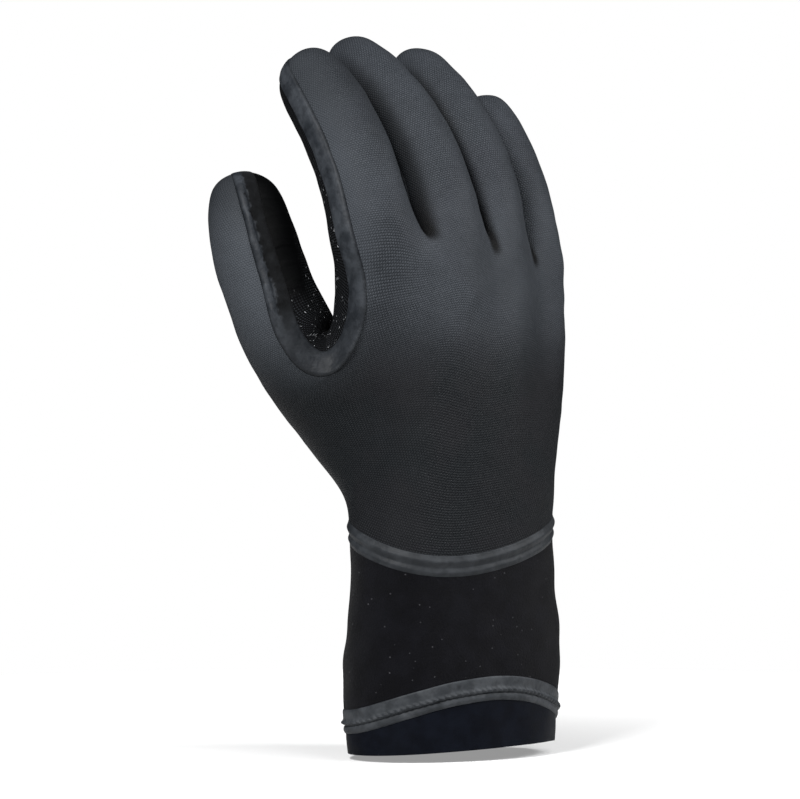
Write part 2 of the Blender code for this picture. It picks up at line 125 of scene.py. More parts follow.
# Fingers, little finger first: shares of MIDDLE_LENGTH, FINGER_WIDTH, FINGER_DEPTH, PALM_ARCH and
# PALM_LENGTH, then degrees at the root and at the tip. The thumb's shares are of its own sizes.
FINGER_COLUMNS = (
    "length", "width", "depth", "arch", "drop",
    "splay", "splay_tip", "lean", "lean_tip", "roll", "roll_tip",
)
FINGERS = {
    "little": (0.76, 0.90, 0.92, -0.30, 0.05, 1.0, 2.0, 8.0, 42.0, 2.0, 10.0),
    "ring": (0.96, 0.98, 0.98, 0.65, 0.00, 1.0, 3.0, 12.0, 58.0, 2.0, 14.0),
    "middle": (1.03, 1.00, 1.00, 1.00, -0.01, 0.0, 3.0, 15.0, 64.0, 2.0, 14.0),
    "index": (0.90, 1.05, 1.06, 0.10, 0.01, -2.0, -3.0, 12.0, 54.0, 0.0, 4.0),
}
THUMB = (1.0, 1.0, 1.0, 0.0, 0.0, 31.0, 1.0, 12.0, 14.0, 160.0, 116.0)
# Rings along a finger: where, width, depth
FINGER_RINGS = np.array([
    (0.00, 1.06, 1.02),
    (0.18, 1.00, 1.00),
    (0.38, 1.00, 1.00),
    (0.58, 0.98, 0.98),
    (0.77, 0.93, 0.93),
    (0.92, 0.76, 0.78),
])
THUMB_RINGS = np.array([
    (0.30, 1.14, 1.16),
    (0.48, 1.05, 1.06),
    (0.66, 1.02, 1.02),
    (0.82, 0.94, 0.92),
    (0.94, 0.74, 0.70),
])

RELAX_ROUNDS = 30
SKIN_LEVELS = 4
SHARP_ANGLE = math.radians(55.0)

# Creases between the fingers, from the webs down: column of the cage, how far they drift towards
# the next column, and how far down the last row of the palm they run
CREASES = ((3, -0.25, 1.2), (5, -0.25, 1.2), (7, -0.50, 0.12))
CREASE_START = 1.5 * MM
CREASE_REACH = 1.1 * MM
CREASE_DEPTH = 2.6 * MM

# Painted shade in the gaps between the fingers: reach towards the thumb and towards the little finger, where
# each gap starts above its web, the little finger's first, and over how much height the painted shade comes
# in
GAP_REACH = (5.0 * MM, 6.0 * MM)
GAP_STARTS = (0.0, 0.0, 5.0 * MM)
GAP_FADE = 6.0 * MM

# Soft waves of skin and plush
SKIN_WAVE = 0.30 * MM
PLUSH_WAVE = 0.55 * MM
WAVE_SIZE = 34.0 * MM
FOLD_WAVE = 0.16 * MM
FOLD_SIZE = 19.0 * MM
PLUSH_FADE = 30.0 * MM  # the plush's waves come in over this much, down from the wrist seam
WAVE_TURN = np.array([(0.8, 0.5, 0.3), (-0.5, 0.4, 0.75), (0.3, -0.8, 0.55)])

# Bands
THUMB_SIDE = -60.0 * MM  # the thumb lies beyond this
TIP_TO_WEB = 150.0 * MM  # the web lies within this of the thumb's tip, along the seam
WEB_TO_TIP = 140.0 * MM  # and the index finger's tip within this of the web
EDGE_HALF = 4.1 * MM  # half of the edge band's width round the thumb and the index finger
SLIM_HALF = 1.5 * MM  # and between the other fingers
WEB_EXTRA = 1.1 * MM  # added to that half width round the web
WEB_REACH = 34.0 * MM
TIP_REACH = 14.0 * MM  # the band is thin this near to the tips of thumb and index finger
EDGE_UNEVEN = 0.35 * MM
EDGE_RISE = 1.20 * MM
LUMP_RISE = 0.62 * MM
THUMB_LUMP_RISE = 0.40 * MM  # added on the thumb, beside the welt
WELT_RISE = 1.25 * MM
WELT_WANDER = 0.35 * MM
WELT_STOP = 26.0 * MM  # from the end of the thumb's welt to the web, along the seam
BULB_RISE = 0.80 * MM
DARK_STRIP = (1.9 * MM, 2.5 * MM)  # from the welt's side across the band: where it turns dark
WRIST_HALF = 3.7 * MM
WRIST_RISE = 0.18 * MM
HEM_HALF = 4.3 * MM
HEM_RISE = 0.50 * MM
STITCH = 2.3 * MM
BAND_FOOT = 0.35 * MM  # a band's underside lies this far inside the skin
# Ridges across a band: rise, which is negative in a groove, then middle and reach as shares of
# half its width
EDGE_RIDGES = ((0.12 * MM, 0.80, 0.10), (0.12 * MM, -0.80, 0.10))
WRIST_RIDGES = ((0.70 * MM, 0.40, 0.30), (-0.26 * MM, -0.16, 0.11), (0.36 * MM, -0.60, 0.20))
HEM_RIDGES = ((-0.60 * MM, -0.33, 0.06), (0.30 * MM, -0.66, 0.20))

# Zones of the looks: soft steps along an axis, in millimetres, from where a zone is 0 to where it is 1
ZONES = {
    "upper_hand": (("z", 128, 168),),
    "thumb": (("x", -36, -58), ("z", 122, 166)),
    "thumb_tip": (("x", -52, -60), ("z", 178, 204)),
    "index_tip": (("x", -22, -34), ("z", 205, 245)),
    "knuckles": (("x", -40, -22), ("z", 142, 168), ("z", 212, 190)),
    "beside_thumb": (("x", -56, -49),),
    "below_thumb": (("z", 166, 153),),
    "round_web": (("x", -24, -32), ("z", 105, 125), ("z", 215, 190)),
}
PAINTED_LIGHT_AND_SHADE = {  # share and colour: painted light over knuckles and thumb, painted shade at the tips
    "knuckles": (0.28, (0.0380, 0.0425, 0.0490)),
    "thumb": (0.70, (0.0420, 0.0470, 0.0540)),
    "thumb_tip": (0.55, (0.0022, 0.0025, 0.0030)),
    "index_tip": (0.35, (0.0022, 0.0025, 0.0030)),
}
RUBBER_GREYS = {  # dark and light
    "liquid_rubber": ((0.0110, 0.0130, 0.0160), (0.0250, 0.0282, 0.0330)),
    "wrist_rubber": ((0.0110, 0.0126, 0.0148), (0.0200, 0.0222, 0.0252)),
    "stitched_rubber": ((0.0200, 0.0225, 0.0258), (0.0340, 0.0372, 0.0415)),
}

# Floor and light
FLOOR_HEIGHT = -2.0 * MM
FLOOR_RADIUS = 0.45
FLOOR_SIDES = 96
WORLD_LIGHT = 0.04
LAMP_AIM = 0.14
LAMPS = {  # azimuth, rise, distance, size, power
    "key_lamp": (-60.0, 36.0, 0.80, (0.24, 0.24), 12.0),
    "front_lamp": (2.0, 52.0, 0.70, (0.30, 0.30), 2.2),
    "right_lamp": (50.0, 30.0, 0.70, (0.16, 0.30), 5.4),
}

# Camera
CAMERA_AZIMUTH = math.radians(-35.0)
CAMERA_DISTANCE = 1.4
CAMERA_LENS = 175.0
AIM_SIDE = -0.0186
AIM_HEIGHT = 0.126


def unit(vectors):
    return vectors / np.linalg.norm(vectors, axis=-1, keepdims=True)


def smooth_step(share):
    share = np.clip(share, 0.0, 1.0)
    return share * share * (3 - 2 * share)


def wave(side, middle, reach):
    """0 at the wave's middle and 1 beyond its reach, for directions round the arm in degrees."""
    return smooth_step(np.abs((side - middle + 180.0) % 360.0 - 180.0) / reach)


def sleeve_grid():
    """Corners of the sleeve, (row, column, xyz): an oval whose width and depth go from the opening's
    to the wrist's, at a height between the rim, the hem seam and the wrist seam in its direction."""
    panel, share, girth = SLEEVE_ROWS.T[:, :, None]
    column = np.arange(COLUMNS)
    even = SEAM_SIDE_LITTLE + 360.0 / COLUMNS * column
    rest = 360.0 + SEAM_SIDE_LITTLE - SEAM_SIDE_THUMB
    wrist_side = np.where(
        column <= THUMB_SEAM,
        SEAM_SIDE_LITTLE + (SEAM_SIDE_THUMB - SEAM_SIDE_LITTLE) * column / THUMB_SEAM,
        SEAM_SIDE_THUMB + rest * (column - THUMB_SEAM) / (COLUMNS - THUMB_SEAM),
    )
    up = np.where(panel == CUFF, share, 0.0)
    side = even + (wrist_side - even) * up
    rim = RIM_RISE * (1 - wave(side, **RIM_WAVE))
    hem = HEM_HEIGHT + HEM_SEAM_RISE * (1 - wave(side, **HEM_SEAM_WAVE))
    wrist = CUFF_HEIGHT + WRIST_SEAM_RISE * wave(side, **WRIST_SEAM_WAVE)
    low, high = np.where(panel == HEM, rim, hem), np.where(panel == HEM, hem, wrist)
    swell = 3 / (2 + math.cos(2 * math.pi / COLUMNS)) * girth / 2
    width, depth = [(a + (b - a) * up) * swell for a, b in zip(OPENING, WRIST)]
    angle = np.radians(side)
    return np.stack([width * np.cos(angle), -depth * np.sin(angle), low + (high - low) * share], axis=-1)


def knuckle_frame():
    """Unit vectors along the row of knuckles towards the little finger, and towards the palm."""
    turn, lift = math.cos(KNUCKLE_TURN), math.sin(KNUCKLE_TURN)
    return np.array([turn, lift, 0.0]), np.array([-lift, turn, 0.0])


def finger_column(name):
    """One column of FINGERS, the little finger first."""
    return np.array([row[FINGER_COLUMNS.index(name)] for row in FINGERS.values()])


def finger_roots():
    """Middles of the fingers at the webs: side by side along the knuckles, on their arch."""
    across, palm = knuckle_frame()
    width, arch, drop = [finger_column(name) for name in ("width", "arch", "drop")]
    steps = (width[1:] + width[:-1]) * FINGER_WIDTH / 2 + FINGER_SPACE
    place = -np.concatenate([[0.0], np.cumsum(steps)])
    place += KNUCKLE_SHIFT - (place[0] + place[-1]) / 2
    roots = across * place[:, None] + palm * (KNUCKLE_DROP - PALM_ARCH * arch)[:, None]
    roots[:, 2] = CUFF_HEIGHT + PALM_LENGTH * (1 - drop)
    return roots


def finger_rings(finger, root, length, width, depth, across, palm, rings):
    """Rings (ring, corner, xyz) round a finger, and the corner at its tip.

    The axis is the sum of short steps whose direction turns from the root's angles to the tip's.
    A ring is an oval of eight corners across the axis. Corner 0 is on the little finger's side."""
    steps = 80
    f = dict(zip(FINGER_COLUMNS, finger))
    share = np.arange(steps + 1) / steps
    splay = np.radians(f["splay"] + (f["splay_tip"] - f["splay"]) * smooth_step(share))[:, None]
    lean = np.radians(f["lean"] + (f["lean_tip"] - f["lean"]) * share)[:, None]
    up = np.array([0.0, 0.0, 1.0])
    ahead = np.cos(lean) * (np.cos(splay) * up - np.sin(splay) * across) + np.sin(lean) * palm
    side = unit(across - ahead * (ahead @ across)[:, None])
    back = np.cross(side, ahead)
    centre = root + np.vstack([np.zeros(3), np.cumsum(ahead, axis=0)]) * length / steps
    along, wide, deep = rings.T
    at = np.ceil(along * steps - 0.5).astype(int)
    roll = f["roll"] + (f["roll_tip"] - f["roll"]) * smooth_step(share[at] * 2)
    angle = np.radians(np.arange(RING) * 360.0 / RING + roll[:, None])
    sideways = np.cos(angle) * wide[:, None] * width / 2 * RING_SWELL
    upwards = np.sin(angle) * deep[:, None] * depth / 2 * RING_SWELL
    places = centre[at, None] + side[at, None] * sideways[..., None] + back[at, None] * upwards[..., None]
    return places, centre[-1]


def turned_sections(low, high, blend):
    """Rings between two rings: distances and directions from their middles are blended."""
    polar = []
    for ring in (low, high):
        middle = ring[:, :2].mean(axis=0)
        away = ring[:, :2] - middle
        polar.append((middle, np.unwrap(np.arctan2(-away[:, 1], away[:, 0])), np.hypot(*away.T)))
    middle, side, reach = [a + (b - a) * blend[:, None] for a, b in zip(*polar)]
    return middle[:, None] + np.stack([reach * np.cos(side), -reach * np.sin(side)], axis=-1)


def thumb_place(shares):
    """Places from shares of THUMB_REACH, THUMB_DEPTH and PALM_LENGTH."""
    out, palm, height = np.moveaxis(np.asarray(shares), -1, 0)
    return np.stack([-out * THUMB_REACH, palm * THUMB_DEPTH, CUFF_HEIGHT + height * PALM_LENGTH], axis=-1)


def hand_grid(wrist, fingers):
    """Corners of the palm (row, column, xyz): rows between the wrist seam and the finger roots,
    with the thumb's corners set and their neighbours relaxed to the mean of those around them."""
    count = len(fingers)
    top = np.zeros((COLUMNS, 3))
    for number, rings in enumerate(fingers):
        corner = np.array([1, 2, 3])
        top[2 * number + corner] += rings[0, corner]
        top[COLUMNS - 2 * number - corner] += rings[0, RING - corner]
    gaps = 2 * np.arange(count - 1) + 3
    shared = np.concatenate([gaps, COLUMNS - gaps])
    top[shared] /= 2
    top[shared, 2] -= WEB_SINK
    top[0] = fingers[0][0, 0]
    top[THUMB_SEAM] = fingers[-1][0, RING // 2]
    height, blend = PALM_ROWS.T
    grid = np.zeros((len(PALM_ROWS), COLUMNS, 3))
    grid[..., :2] = turned_sections(wrist, top, blend)
    grid[..., 2] = wrist[:, 2] + (top[:, 2] - wrist[:, 2]) * height[:, None]
    row, column = THUMB_BASE[:, :2].T.astype(int)
    grid[row, column] = thumb_place(THUMB_BASE[:, 2:])
    loose = np.zeros(grid.shape[:2], bool)
    loose[1:-1, THUMB_SEAM - 3:THUMB_SEAM + 5] = True
    loose[row, column] = False
    for _ in range(RELAX_ROUNDS):
        around = sum(np.roll(grid, step, axis) for step in (1, -1) for axis in (0, 1)) / 4
        grid = np.where(loose[..., None], around, grid)
    return grid


def run_length(places, middle):
    """Distance along each row of places from its corner number middle, negative before it."""
    step = np.linalg.norm(np.diff(places, axis=-2), axis=-1)
    run = np.concatenate([np.zeros(step.shape[:-1] + (1,)), np.cumsum(step, axis=-1)], axis=-1)
    return run - run[..., middle:middle + 1]


def closed_round(grid):
    """A grid with its first column once more after its last."""
    return np.concatenate([grid, grid[:, :1]], axis=1)


def quad_edges(quads):
    """The edges of all quads as pairs of corners, and for each a number that both its quads give it."""
    edges = np.stack([quads, np.roll(quads, -1, axis=1)], axis=-1).reshape(-1, 2)
    return edges, np.sort(edges, axis=1) @ np.array([quads.max() + 1, 1])


class Cage:
    """Patches of corners on grids, welded where their corners meet, with a panel and a UV in metres."""

    def __init__(self):
        self.places, self.uvs, self.quads, self.labels = [], [], [], []
        self.count = 0

    def patch(self, places, label, across, along, left_out=None):
        """Adds a grid of corners. The quads run along rows first, so they face outwards."""
        rows, columns = places.shape[:2]
        number = self.count + np.arange(rows * columns).reshape(rows, columns)
        quads = np.stack([number[:-1, :-1], number[1:, :-1], number[1:, 1:], number[:-1, 1:]], axis=-1)
        kept = np.ones(quads.shape[:2], bool) if left_out is None else ~left_out
        self.quads.append(quads[kept])
        self.labels.append(np.broadcast_to(np.asarray(label), quads.shape[:2])[kept])
        self.places.append(places.reshape(-1, 3))
        uv = np.stack(np.broadcast_arrays(across, along), axis=-1)
        self.uvs.append(np.broadcast_to(uv, (rows, columns, 2)).reshape(-1, 2))
        self.count += rows * columns

    def arrays(self):
        """Welded places, quads, a panel number for each quad and a UV for each of its corners."""
        places, quads = np.concatenate(self.places), np.concatenate(self.quads)
        uvs = np.concatenate(self.uvs)[quads.ravel()]
        _, first, weld = np.unique(np.round(places, 7), axis=0, return_index=True, return_inverse=True)
        return places[first], weld.ravel()[quads], np.concatenate(self.labels), uvs


def tube_patches(cage, loops, tip, starts):
    """The two halves of a finger from its loops of corners, and the four quads that close its tip.

    starts gives, for the back half and the palm half, the UV where the middle of the half begins."""
    loops = closed_round(loops)
    half = RING // 2
    along = run_length(loops.mean(axis=1), 0)[:, None]
    cap = along[-1, 0] + np.linalg.norm(loops[-1] - tip, axis=1).mean()
    for label, first in ((BACK, 0), (PALM, half)):
        part = loops[:, first:first + half + 1]
        u, v = starts[label]
        across = run_length(part, half // 2) + u
        cage.patch(part, label, across, along + v)
        a, b, c, d, e = part[-1]
        ua, ub, uc, ud, ue = across[-1]
        end, top = along[-1, 0] + v, cap + v
        turn = slice(None, None, 1 if label == BACK else -1)
        tip_patch = (
            [[a, b], [tip, c], [e, d]],
            [[ua, ub], [uc, uc], [ue, ud]],
            [[end, end], [top, end], [end, end]],
        )
        places, tip_across, tip_along = [np.array(table)[turn, turn] for table in tip_patch]
        cage.patch(places, label, tip_across, tip_along)


def hand_corners():
    """Corners of the sleeve, the rings and the tip of each finger, and corners of the palm."""
    sleeve, rings, tips = sleeve_grid(), [], []
    length = finger_column("length") * MIDDLE_LENGTH
    width, depth = finger_column("width") * FINGER_WIDTH, finger_column("depth") * FINGER_DEPTH
    for finger, root, *size in zip(FINGERS.values(), finger_roots(), length, width, depth):
        places, tip = finger_rings(finger, root, *size, *knuckle_frame(), FINGER_RINGS)
        rings.append(places)
        tips.append(tip)
    return sleeve, rings, tips, hand_grid(sleeve[-1], rings)


def build_cage():
    """The coarse cage of the whole skin, from the rim of the hem to the fingertips."""
    cage = Cage()
    sleeve, rings, tips, grid = hand_corners()
    wrap, sleeve = closed_round(grid), closed_round(sleeve)
    sleeve_label = np.broadcast_to(SLEEVE_ROWS[:-1, :1].astype(int), (len(sleeve) - 1, COLUMNS))
    cage.patch(sleeve, sleeve_label, run_length(sleeve, 0), sleeve[..., 2])

    along = grid[..., 2].mean(axis=1)[:, None]
    across_of = {}
    for label, first in ((BACK, 0), (PALM, THUMB_SEAM)):
        part = wrap[:, first:first + THUMB_SEAM + 1]
        across_of[label] = run_length(part, THUMB_SEAM // 2)
        left_out = np.zeros((len(grid) - 1, THUMB_SEAM), bool)
        left_out[2:4, THUMB_SEAM - 1 if label == BACK else 0] = True
        cage.patch(part, label, across_of[label], along, left_out)

    webs = [(a[0, RING // 2] + b[0, 0]) / 2 for a, b in zip(rings, rings[1:])]
    middles = [grid[-1, 0], *webs, grid[-1, THUMB_SEAM]]
    for number, (places, tip) in enumerate(zip(rings, tips)):
        column = 2 * number + np.array([1, 2, 3])
        backs, fronts = grid[-1, column], grid[-1, (COLUMNS - column[::-1]) % COLUMNS]
        base = np.vstack([middles[number:number + 1], backs, middles[number + 1:number + 2], fronts])
        starts = {
            BACK: (across_of[BACK][-1, column[1]], along[-1, 0]),
            PALM: (across_of[PALM][-1, THUMB_SEAM - column[1]], along[-1, 0]),
        }
        tube_patches(cage, np.concatenate([base[None], places[1:]]), tip, starts)

    places, tip = finger_rings(
        THUMB, thumb_place(THUMB_ROOT), THUMB_LENGTH, THUMB_WIDTH, THUMB_WIDTH,
        np.array([1.0, 0.0, 0.0]), np.array([0.0, 1.0, 0.0]), THUMB_RINGS,
    )
    row, column = THUMB_BASE[:RING, :2].T.astype(int)
    starts = {BACK: (across_of[BACK][3, 9], along[3, 0]), PALM: (across_of[PALM][3, 1], along[3, 0])}
    tube_patches(cage, np.concatenate([grid[row, column][None], places]), tip, starts)
    return cage.arrays()


def new_mesh(name, places, faces, uvs=None):
    """A mesh from arrays of places and of quads, shaded smooth, with a UV for each quad's corner."""
    mesh = bpy.data.meshes.new(name)
    mesh.vertices.add(len(places))
    mesh.vertices.foreach_set("co", np.ascontiguousarray(places, np.float32).ravel())
    mesh.loops.add(faces.size)
    mesh.loops.foreach_set("vertex_index", np.ascontiguousarray(faces, np.int32).ravel())
    mesh.polygons.add(len(faces))
    mesh.polygons.foreach_set("loop_start", np.arange(0, faces.size, 4, dtype=np.int32))
    mesh.update(calc_edges=True)
    mesh.polygons.foreach_set("use_smooth", np.ones(len(faces), bool))
    if uvs is not None:
        layer = mesh.uv_layers.new(name="UVMap")
        layer.uv.foreach_set("vector", np.ascontiguousarray(uvs, np.float32).ravel())
    return mesh


def new_object(name, data):
    obj = bpy.data.objects.new(name, data)
    bpy.context.scene.collection.objects.link(obj)
    return obj


def read(items, name, width, kind=float):
    """One attribute of all the items of a mesh, (item, number)."""
    values = np.zeros(len(items) * width, np.float32 if kind is float else np.int32)
    items.foreach_get(name, values)
    return values.reshape(-1, width).astype(kind)


def evaluated(obj):
    """Places, vertex normals and the mesh of an object with its modifiers applied."""
    mesh = bpy.data.meshes.new_from_object(obj.evaluated_get(bpy.context.evaluated_depsgraph_get()))
    return read(mesh.vertices, "co", 3), read(mesh.vertex_normals, "vector", 3), mesh


class Skin:
    """The smooth outer surface: places, normals, quads, panel numbers, UVs and the painted shade that the
    gaps and creases between the fingers give each place, as arrays."""

    def __init__(self):
        places, quads, labels, uvs = build_cage()
        mesh = new_mesh("skin", places, quads, uvs)
        mesh.attributes.new("panel", "INT", "FACE").data.foreach_set("value", labels.astype(np.int32))
        obj = new_object("skin", mesh)
        smoother = obj.modifiers.new("smooth", "SUBSURF")
        smoother.levels = smoother.render_levels = SKIN_LEVELS
        self.places, self.normals, dense = evaluated(obj)
        self.quads = read(dense.loops, "vertex_index", 1, int).reshape(-1, 4)
        self.labels = read(dense.attributes["panel"].data, "value", 1, int)[:, 0]
        self.uvs = read(dense.uv_layers[0].uv, "vector", 2).reshape(-1, 4, 2)
        self.shade = np.zeros(len(self.places))
        bpy.data.objects.remove(obj)

    def shape(self, lift):
        """Moves the surface along its normals by lift, then works the normals out again."""
        self.places = self.places + self.normals * lift[:, None]
        mesh = new_mesh("shaped", self.places, self.quads)
        self.normals = read(mesh.vertex_normals, "vector", 3)
        bpy.data.meshes.remove(mesh)

    def seam(self, side_a, side_b):
        """Places along the line between two groups of panels, in order, and whether it closes."""
        edges, key = quad_edges(self.quads)
        group = np.select([np.isin(self.labels, side_a), np.isin(self.labels, side_b)], [1, 2], 0).repeat(4)
        order = np.argsort(key, kind="stable")
        key, group, edges = key[order], group[order], edges[order]
        pair = (key[1:] == key[:-1]) & (group[1:] * group[:-1] == 2)
        links = edges[1:][pair]
        following = {}
        for a, b in links.tolist():
            following.setdefault(a, []).append(b)
            following.setdefault(b, []).append(a)
        ends = [a for a, others in following.items() if len(others) == 1]
        start = min(ends or following, key=lambda a: tuple(self.places[a]))
        chain, before = [start], None
        while True:
            onwards = [a for a in following[chain[-1]] if a != before and a != start]
            if not onwards:
                break
            before = chain[-1]
            chain.append(onwards[0])
        return self.places[chain], not ends


def crease(places, start, end, reach, depth):
    """How far the skin sinks near the line from start to end: a bell of its distance from the line,
    which fades out towards the end."""
    line = end - start
    share = ((places - start) @ line / (line @ line)).clip(0.0, 1.0)
    away = np.linalg.norm(places - start - share[:, None] * line, axis=1)
    return -depth * hump(away, 0.0, reach) * (1 - share ** 2)


def soft_waves(places, size):
    """Smooth uneven waves from -1 to 1: the product of three sines of turned coordinates."""
    turned = places @ WAVE_TURN.T * (2 * math.pi / size)
    return np.sin(turned + np.sin(turned[:, [1, 2, 0]] * 0.7)).prod(axis=1)


def gap_shade(places):
    """How deep a place lies in a gap between two fingers, for painted shade: 1 at the middle of the gap, 0
    beyond
    GAP_REACH to its sides and 0 below its start."""
    across, _ = knuckle_frame()
    roots = finger_roots()
    half = finger_column("width") * FINGER_WIDTH / 2
    place, middles = places @ across, roots @ across
    gaps = (middles[:-1] - half[:-1] + middles[1:] + half[1:]) / 2
    starts = (roots[:-1, 2] + roots[1:, 2]) / 2 - WEB_SINK + np.array(GAP_STARTS)
    shade = np.zeros(len(places))
    for gap, start in zip(gaps, starts):
        off = place - gap
        near = (1 - smooth_step(np.where(off > 0, off / GAP_REACH[1], -off / GAP_REACH[0]))) ** 1.4
        shade = np.maximum(shade, near * smooth_step((places[:, 2] - start) / GAP_FADE))
    return shade


def shape_skin(skin):
    """Sinks the creases that run down from between the fingers, and gives plush and skin soft waves.
    Gaps and creases are marked in the skin's shade, which the back panel's colour turns into painted shade."""
    _, palm = knuckle_frame()
    grid = hand_corners()[-1]
    lift = np.zeros(len(skin.places))
    facing_back = smooth_step(-(skin.normals @ palm) * 2.0)
    # Painted shade in the gaps between the fingers, on the faces turned away from the palm
    skin.shade = gap_shade(skin.places) * smooth_step(0.6 - skin.normals @ palm)
    for column, side, run in CREASES:
        start = grid[-1, column] + palm * CREASE_START
        low, beside = grid[-2, column], grid[-2, column + 1]
        end = start + (low + (beside - low) * side - grid[-1, column]) * run
        sunk = crease(skin.places, start, end, CREASE_REACH, CREASE_DEPTH) * facing_back
        lift += sunk
        # Painted shade along the creases
        skin.shade = np.maximum(skin.shade, -sunk / CREASE_DEPTH)
    on_cuff = smooth_step((CUFF_HEIGHT + WRIST_SEAM_RISE - skin.places[:, 2]) / PLUSH_FADE)
    lift += soft_waves(skin.places, WAVE_SIZE) * (SKIN_WAVE + (PLUSH_WAVE - SKIN_WAVE) * on_cuff)
    lift += soft_waves(skin.places[:, [1, 2, 0]], FOLD_SIZE) * FOLD_WAVE * (1 - on_cuff)
    skin.shape(lift)


def panel_piece(skin, label, thickness):
    """One panel of the skin with its wall: the outer face, the inner face that lies under it by the
    thickness, and a rim of quads along every free edge."""
    chosen = skin.labels == label
    quads, uvs = skin.quads[chosen], skin.uvs[chosen]
    used, quads = np.unique(quads, return_inverse=True)
    quads = quads.reshape(-1, 4)
    outer = skin.places[used]
    inner = outer - skin.normals[used] * thickness
    count = len(used)
    edges, key = quad_edges(quads)
    edge_uvs = np.stack([uvs, np.roll(uvs, -1, axis=1)], axis=2).reshape(-1, 2, 2)
    _, place, times = np.unique(key, return_index=True, return_counts=True)
    free = edges[place[times == 1]]
    free_uvs = edge_uvs[place[times == 1]]
    rim = np.stack([free[:, 1], free[:, 0], free[:, 0] + count, free[:, 1] + count], axis=1)
    rim_uvs = free_uvs[:, [1, 0, 0, 1]]
    faces = np.concatenate([quads, quads[:, ::-1] + count, rim])
    corners = np.concatenate([uvs, uvs[:, ::-1], rim_uvs])
    mesh = new_mesh(PANELS[label], np.concatenate([outer, inner]), faces, corners)
    # The painted shade of gaps and creases, which the back panel's colour reads
    shade = mesh.attributes.new("shade", "FLOAT", "POINT")
    shade.data.foreach_set("value", np.tile(skin.shade[used], 2).astype(np.float32))
    slots = np.concatenate([np.zeros(len(quads)), np.ones(len(quads) + len(rim))]).astype(np.int32)
    mesh.polygons.foreach_set("material_index", slots)
    mesh.set_sharp_from_angle(angle=SHARP_ANGLE)
    return new_object(PANELS[label] + "_skin", mesh)


def even_path(places, closed, step):
    """The same line with points a step apart, and how far along it each one is."""
    line = np.vstack([places, places[:1]]) if closed else places
    run = run_length(line, 0)
    count = int(round(run[-1] / step))
    along = np.linspace(0.0, run[-1], count + 1)[:count if closed else count + 1]
    return np.stack([np.interp(along, run, axis) for axis in line.T], axis=1), along


def blurred(values, closed, reach, rounds=2):
    """Running means over reach points to either side along the first axis."""
    mode = "wrap" if closed else "edge"
    for _ in range(rounds):
        padded = np.pad(values, [(reach, reach)] + [(0, 0)] * (values.ndim - 1), mode=mode)
        total = np.cumsum(np.concatenate([np.zeros_like(padded[:1]), padded]), axis=0)
        values = (total[2 * reach + 1:] - total[:-2 * reach - 1]) / (2 * reach + 1)
    return values


def along_of(grid, closed):
    """Difference between the rings before and after, along the first axis."""
    if closed:
        return np.roll(grid, -1, axis=0) - np.roll(grid, 1, axis=0)
    return np.gradient(grid, axis=0)


def band_piece(name, skin_obj, places, closed, up, half_of, height, count, step):
    """A band over a seam: a profile carried along the seam's line and laid on the skin.

    half_of(along) is half its width, and up is the way that its positive side lies.
    A flat ribbon of count points across is wrapped to the nearest points of the skin. Its normals
    are the cross products of its own two directions. The top stands over it by height(along,
    across, places), and the underside lies a little inside the skin, so that no light gets under."""
    line, along = even_path(places, closed, step)
    line = blurred(line, closed, 2)
    share = np.linspace(-1.0, 1.0, count)
    ahead = unit(blurred(along_of(line, closed), closed, 2))
    outwards = wrapped_normals(line, skin_obj)
    side = unit(np.cross(ahead, outwards))
    side *= np.sign((side @ up).mean())
    half = half_of(along)[:, None, None]
    ribbon = line[:, None] + side[:, None] * (share[None, :, None] * half)
    feet = wrapped(ribbon, skin_obj)
    feet = blurred(feet, closed, 1, 1)
    normals = unit(np.cross(np.gradient(feet, axis=1), along_of(feet, closed)))
    normals *= np.sign((normals * outwards[:, None]).sum(-1).mean())
    normals = unit(blurred(normals, closed, 2))
    top = feet + normals * height(along[:, None], share[None, :], feet)[..., None]
    under = feet - normals * BAND_FOOT
    return ring_piece(name, np.concatenate([top, under[:, ::-1]], axis=1), closed, along, half.mean())


def ring_piece(name, rings, closed, along, half_width):
    """A closed tube through rings of corners, (ring, corner, xyz), with flat ends if it is open."""
    count, corners = rings.shape[:2]
    number = np.arange(count * corners).reshape(count, corners)
    ahead = np.roll(number, -1, axis=0) if closed else number[1:]
    here = number if closed else number[:-1]
    quads = np.stack([here, np.roll(here, -1, axis=1), np.roll(ahead, -1, axis=1), ahead], axis=-1)
    width = np.abs(np.linspace(-1.0, 1.0, corners + 1)) * half_width * 2
    low = along[:len(here), None]
    high = low + (along[1] - along[0])
    low, high, left, right = np.broadcast_arrays(low, high, width[:-1], width[1:])
    uvs = np.stack([low, left, low, right, high, right, high, left], axis=-1)
    faces, uvs = quads.reshape(-1, 4), uvs.reshape(-1, 4, 2)
    if not closed:
        half = corners // 2
        strip = np.arange(half - 1)
        for ring, flip in ((number[0], False), (number[-1], True)):
            a, b, c, d = ring[strip], ring[strip + 1], ring[corners - 2 - strip], ring[corners - 1 - strip]
            cap = np.stack([a, d, c, b], axis=1)
            cap = cap[:, ::-1] if flip else cap
            faces = np.concatenate([faces, cap])
            uvs = np.concatenate([uvs, np.zeros((len(cap), 4, 2))])
    mesh = new_mesh(name, rings.reshape(-1, 3), faces, uvs)
    if signed_volume(mesh) < 0:
        mesh.flip_normals()
    return new_object(name, mesh)


def signed_volume(mesh):
    """The volume inside a closed mesh, negative where the mesh is inside out."""
    mesh.calc_loop_triangles()
    corners = read(mesh.loop_triangles, "vertices", 3, int)
    a, b, c = read(mesh.vertices, "co", 3)[corners].transpose(1, 0, 2)
    return (a * np.cross(b, c)).sum() / 6


